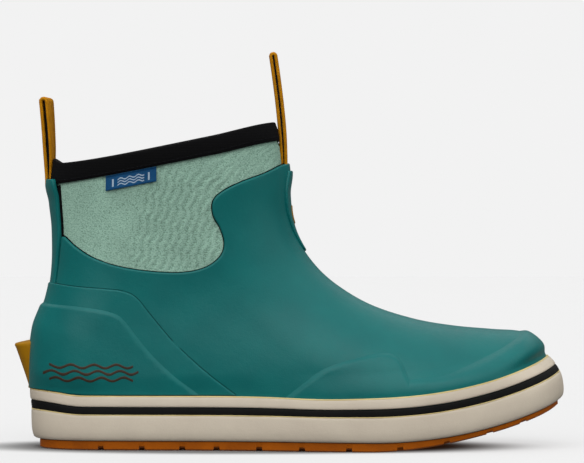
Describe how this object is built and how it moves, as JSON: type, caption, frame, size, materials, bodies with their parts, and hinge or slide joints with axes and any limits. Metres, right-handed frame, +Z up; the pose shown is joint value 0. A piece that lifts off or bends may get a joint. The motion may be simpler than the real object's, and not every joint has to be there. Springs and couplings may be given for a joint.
{
  "type": "ankle-high rubber deck boot",
  "caption": "Slip-on ankle deck boot: a knit-faced foam bootie in a rubber upper on a foxed gum sole, with webbing pull loops front and back.",
  "frame": {"origin": "on the ground under the middle of the heel tread", "axes": "+X from heel to toe, +Y towards the inner (big-toe) side of this right boot, +Z up"},
  "size_m": [0.3152, 0.1093, 0.2247],
  "materials": {
    "upper_rubber": "satin vulcanised rubber",
    "cream_rubber": "satin vulcanised rubber",
    "stripe_rubber": "satin vulcanised rubber",
    "gum_rubber": "matt gum rubber",
    "mustard_rubber": "satin moulded rubber",
    "knit": "ribbed knit",
    "black_cloth": "matt knit tape and mesh",
    "webbing": "ribbed woven webbing",
    "label_cloth": "woven satin tape",
    "foam": "matt closed-cell foam",
    "board": "pressed fibre board",
    "shank_steel": "plain"
  },
  "bodies": {
    "boot": {"outsole": "gum_rubber", "foxing_lower": "cream_rubber", "foxing_stripe": "stripe_rubber", "foxing_upper": "cream_rubber", "midsole": "foam", "shank": "shank_steel", "insole_board": "board", "mesh_lining": "black_cloth", "bootie_outer_half": "knit", "bootie_inner_half": "knit", "heel_stiffener": "board", "toe_puff": "board", "rubber_vamp": "upper_rubber", "backstay": "upper_rubber", "heel_counter": "upper_rubber", "heel_ridge": "upper_rubber", "toe_cap": "upper_rubber", "side_guard_outer": "upper_rubber", "side_guard_inner": "upper_rubber", "shin_patch": "upper_rubber", "shin_badge": "mustard_rubber", "kick_spur": "mustard_rubber", "collar_binding": "black_cloth", "front_loop_anchor": "webbing", "rear_loop_anchor": "webbing"},
    "front_loop": {"front_pull_loop": "webbing"},
    "rear_loop": {"rear_pull_loop": "webbing"},
    "label": {"side_label": "label_cloth"},
    "footbed": {"footbed_foam": "foam", "footbed_topcloth": "black_cloth"}
  },
  "joints": [
    {"name": "front_loop_swing", "type": "hinge", "parent": "boot", "child": "front_loop", "pos_m": [0.1089, 0, 0.1628], "axis": [0, 1, 0], "range_deg": [0, 75], "stiffness_Nm_per_rad": 0.02},
    {"name": "rear_loop_swing", "type": "hinge", "parent": "boot", "child": "rear_loop", "pos_m": [-0.0288, 0, 0.1507], "axis": [0, -1, 0], "range_deg": [0, 80], "stiffness_Nm_per_rad": 0.02},
    {"name": "label_lift", "type": "hinge", "parent": "boot", "child": "label", "pos_m": [0.0224, -0.0409, 0.1563], "axis": [-0.969, 0.168, -0.181], "range_deg": [0, 90], "stiffness_Nm_per_rad": 0.0005},
    {"name": "footbed_lift", "type": "hinge", "parent": "boot", "child": "footbed", "pos_m": [0.249, 0, 0.0395], "axis": [0, 1, 0], "range_deg": [0, 5]}
  ]
}
